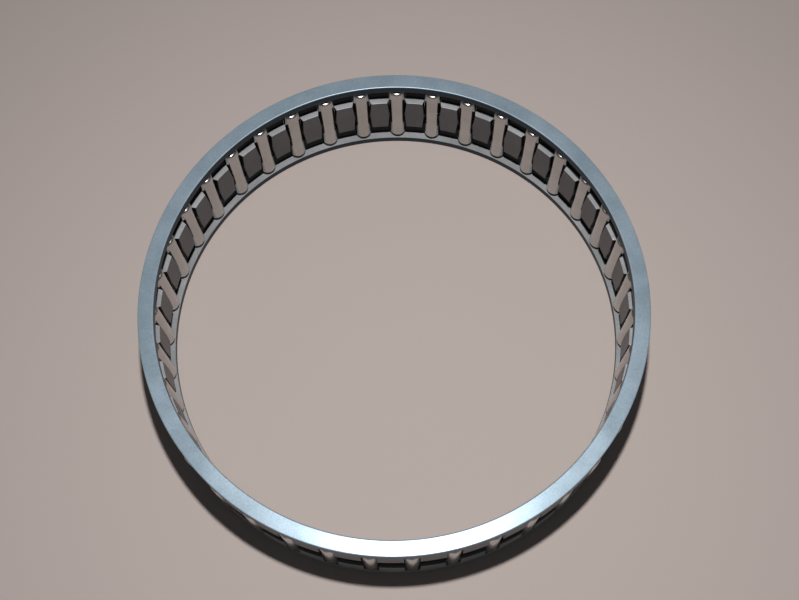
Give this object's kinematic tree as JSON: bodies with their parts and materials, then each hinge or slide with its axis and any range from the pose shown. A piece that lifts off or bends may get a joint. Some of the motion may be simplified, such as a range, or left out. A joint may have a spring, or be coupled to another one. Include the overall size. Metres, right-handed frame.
{
  "type": "needle roller bearing",
  "caption": "Needle roller and cage assembly: loose needle rollers, each free to spin in its own pocket of a one-piece M-section steel cage. No rings.",
  "frame": {"origin": "centre of the bearing: on its axis, halfway between the two end rims", "axes": "+Z along the bearing axis; +X from the axis through the centre of roller_01; rollers are numbered counter-clockwise seen from +Z"},
  "size_m": [0.0859, 0.086, 0.02],
  "materials": {
    "cage_steel": "fine ground blue-grey steel, satin, lightly oiled",
    "roller_steel": "superfinished bearing steel, near mirror"
  },
  "bodies": {
    "cage": {"cage": "cage_steel"},
    "roller_01": {"roller_01": "roller_steel"},
    "roller_02": {"roller_02": "roller_steel"},
    "roller_03": {"roller_03": "roller_steel"},
    "roller_04": {"roller_04": "roller_steel"},
    "roller_05": {"roller_05": "roller_steel"},
    "roller_06": {"roller_06": "roller_steel"},
    "roller_07": {"roller_07": "roller_steel"},
    "roller_08": {"roller_08": "roller_steel"},
    "roller_09": {"roller_09": "roller_steel"},
    "roller_10": {"roller_10": "roller_steel"},
    "roller_11": {"roller_11": "roller_steel"},
    "roller_12": {"roller_12": "roller_steel"},
    "roller_13": {"roller_13": "roller_steel"},
    "roller_14": {"roller_14": "roller_steel"},
    "roller_15": {"roller_15": "roller_steel"},
    "roller_16": {"roller_16": "roller_steel"},
    "roller_17": {"roller_17": "roller_steel"},
    "roller_18": {"roller_18": "roller_steel"},
    "roller_19": {"roller_19": "roller_steel"},
    "roller_20": {"roller_20": "roller_steel"},
    "roller_21": {"roller_21": "roller_steel"},
    "roller_22": {"roller_22": "roller_steel"},
    "roller_23": {"roller_23": "roller_steel"},
    "roller_24": {"roller_24": "roller_steel"},
    "roller_25": {"roller_25": "roller_steel"},
    "roller_26": {"roller_26": "roller_steel"},
    "roller_27": {"roller_27": "roller_steel"},
    "roller_28": {"roller_28": "roller_steel"},
    "roller_29": {"roller_29": "roller_steel"},
    "roller_30": {"roller_30": "roller_steel"},
    "roller_31": {"roller_31": "roller_steel"},
    "roller_32": {"roller_32": "roller_steel"},
    "roller_33": {"roller_33": "roller_steel"},
    "roller_34": {"roller_34": "roller_steel"},
    "roller_35": {"roller_35": "roller_steel"},
    "roller_36": {"roller_36": "roller_steel"},
    "roller_37": {"roller_37": "roller_steel"},
    "roller_38": {"roller_38": "roller_steel"},
    "roller_39": {"roller_39": "roller_steel"}
  },
  "joints": [
    {"name": "roller_01_spin", "type": "hinge", "parent": "cage", "child": "roller_01", "pos_m": [0.0415, 0, 0], "axis": [0, 0, 1], "continuous": true},
    {"name": "roller_02_spin", "type": "hinge", "parent": "cage", "child": "roller_02", "pos_m": [0.04096, 0.00666, 0], "axis": [0, 0, 1], "continuous": true},
    {"name": "roller_03_spin", "type": "hinge", "parent": "cage", "child": "roller_03", "pos_m": [0.03936, 0.01314, 0], "axis": [0, 0, 1], "continuous": true},
    {"name": "roller_04_spin", "type": "hinge", "parent": "cage", "child": "roller_04", "pos_m": [0.03675, 0.01929, 0], "axis": [0, 0, 1], "continuous": true},
    {"name": "roller_05_spin", "type": "hinge", "parent": "cage", "child": "roller_05", "pos_m": [0.03318, 0.02493, 0], "axis": [0, 0, 1], "continuous": true},
    {"name": "roller_06_spin", "type": "hinge", "parent": "cage", "child": "roller_06", "pos_m": [0.02875, 0.02993, 0], "axis": [0, 0, 1], "continuous": true},
    {"name": "roller_07_spin", "type": "hinge", "parent": "cage", "child": "roller_07", "pos_m": [0.02357, 0.03415, 0], "axis": [0, 0, 1], "continuous": true},
    {"name": "roller_08_spin", "type": "hinge", "parent": "cage", "child": "roller_08", "pos_m": [0.01779, 0.03749, 0], "axis": [0, 0, 1], "continuous": true},
    {"name": "roller_09_spin", "type": "hinge", "parent": "cage", "child": "roller_09", "pos_m": [0.01155, 0.03986, 0], "axis": [0, 0, 1], "continuous": true},
    {"name": "roller_10_spin", "type": "hinge", "parent": "cage", "child": "roller_10", "pos_m": [0.005, 0.0412, 0], "axis": [0, 0, 1], "continuous": true},
    {"name": "roller_11_spin", "type": "hinge", "parent": "cage", "child": "roller_11", "pos_m": [-0.00167, 0.04147, 0], "axis": [0, 0, 1], "continuous": true},
    {"name": "roller_12_spin", "type": "hinge", "parent": "cage", "child": "roller_12", "pos_m": [-0.0083, 0.04066, 0], "axis": [0, 0, 1], "continuous": true},
    {"name": "roller_13_spin", "type": "hinge", "parent": "cage", "child": "roller_13", "pos_m": [-0.01472, 0.0388, 0], "axis": [0, 0, 1], "continuous": true},
    {"name": "roller_14_spin", "type": "hinge", "parent": "cage", "child": "roller_14", "pos_m": [-0.02075, 0.03594, 0], "axis": [0, 0, 1], "continuous": true},
    {"name": "roller_15_spin", "type": "hinge", "parent": "cage", "child": "roller_15", "pos_m": [-0.02625, 0.03215, 0], "axis": [0, 0, 1], "continuous": true},
    {"name": "roller_16_spin", "type": "hinge", "parent": "cage", "child": "roller_16", "pos_m": [-0.03106, 0.02752, 0], "axis": [0, 0, 1], "continuous": true},
    {"name": "roller_17_spin", "type": "hinge", "parent": "cage", "child": "roller_17", "pos_m": [-0.03508, 0.02218, 0], "axis": [0, 0, 1], "continuous": true},
    {"name": "roller_18_spin", "type": "hinge", "parent": "cage", "child": "roller_18", "pos_m": [-0.03818, 0.01627, 0], "axis": [0, 0, 1], "continuous": true},
    {"name": "roller_19_spin", "type": "hinge", "parent": "cage", "child": "roller_19", "pos_m": [-0.04029, 0.00993, 0], "axis": [0, 0, 1], "continuous": true},
    {"name": "roller_20_spin", "type": "hinge", "parent": "cage", "child": "roller_20", "pos_m": [-0.04137, 0.00334, 0], "axis": [0, 0, 1], "continuous": true},
    {"name": "roller_21_spin", "type": "hinge", "parent": "cage", "child": "roller_21", "pos_m": [-0.04137, -0.00334, 0], "axis": [0, 0, 1], "continuous": true},
    {"name": "roller_22_spin", "type": "hinge", "parent": "cage", "child": "roller_22", "pos_m": [-0.04029, -0.00993, 0], "axis": [0, 0, 1], "continuous": true},
    {"name": "roller_23_spin", "type": "hinge", "parent": "cage", "child": "roller_23", "pos_m": [-0.03818, -0.01627, 0], "axis": [0, 0, 1], "continuous": true},
    {"name": "roller_24_spin", "type": "hinge", "parent": "cage", "child": "roller_24", "pos_m": [-0.03508, -0.02218, 0], "axis": [0, 0, 1], "continuous": true},
    {"name": "roller_25_spin", "type": "hinge", "parent": "cage", "child": "roller_25", "pos_m": [-0.03106, -0.02752, 0], "axis": [0, 0, 1], "continuous": true},
    {"name": "roller_26_spin", "type": "hinge", "parent": "cage", "child": "roller_26", "pos_m": [-0.02625, -0.03215, 0], "axis": [0, 0, 1], "continuous": true},
    {"name": "roller_27_spin", "type": "hinge", "parent": "cage", "child": "roller_27", "pos_m": [-0.02075, -0.03594, 0], "axis": [0, 0, 1], "continuous": true},
    {"name": "roller_28_spin", "type": "hinge", "parent": "cage", "child": "roller_28", "pos_m": [-0.01472, -0.0388, 0], "axis": [0, 0, 1], "continuous": true},
    {"name": "roller_29_spin", "type": "hinge", "parent": "cage", "child": "roller_29", "pos_m": [-0.0083, -0.04066, 0], "axis": [0, 0, 1], "continuous": true},
    {"name": "roller_30_spin", "type": "hinge", "parent": "cage", "child": "roller_30", "pos_m": [-0.00167, -0.04147, 0], "axis": [0, 0, 1], "continuous": true},
    {"name": "roller_31_spin", "type": "hinge", "parent": "cage", "child": "roller_31", "pos_m": [0.005, -0.0412, 0], "axis": [0, 0, 1], "continuous": true},
    {"name": "roller_32_spin", "type": "hinge", "parent": "cage", "child": "roller_32", "pos_m": [0.01155, -0.03986, 0], "axis": [0, 0, 1], "continuous": true},
    {"name": "roller_33_spin", "type": "hinge", "parent": "cage", "child": "roller_33", "pos_m": [0.01779, -0.03749, 0], "axis": [0, 0, 1], "continuous": true},
    {"name": "roller_34_spin", "type": "hinge", "parent": "cage", "child": "roller_34", "pos_m": [0.02357, -0.03415, 0], "axis": [0, 0, 1], "continuous": true},
    {"name": "roller_35_spin", "type": "hinge", "parent": "cage", "child": "roller_35", "pos_m": [0.02875, -0.02993, 0], "axis": [0, 0, 1], "continuous": true},
    {"name": "roller_36_spin", "type": "hinge", "parent": "cage", "child": "roller_36", "pos_m": [0.03318, -0.02493, 0], "axis": [0, 0, 1], "continuous": true},
    {"name": "roller_37_spin", "type": "hinge", "parent": "cage", "child": "roller_37", "pos_m": [0.03675, -0.01929, 0], "axis": [0, 0, 1], "continuous": true},
    {"name": "roller_38_spin", "type": "hinge", "parent": "cage", "child": "roller_38", "pos_m": [0.03936, -0.01314, 0], "axis": [0, 0, 1], "continuous": true},
    {"name": "roller_39_spin", "type": "hinge", "parent": "cage", "child": "roller_39", "pos_m": [0.04096, -0.00666, 0], "axis": [0, 0, 1], "continuous": true}
  ]
}
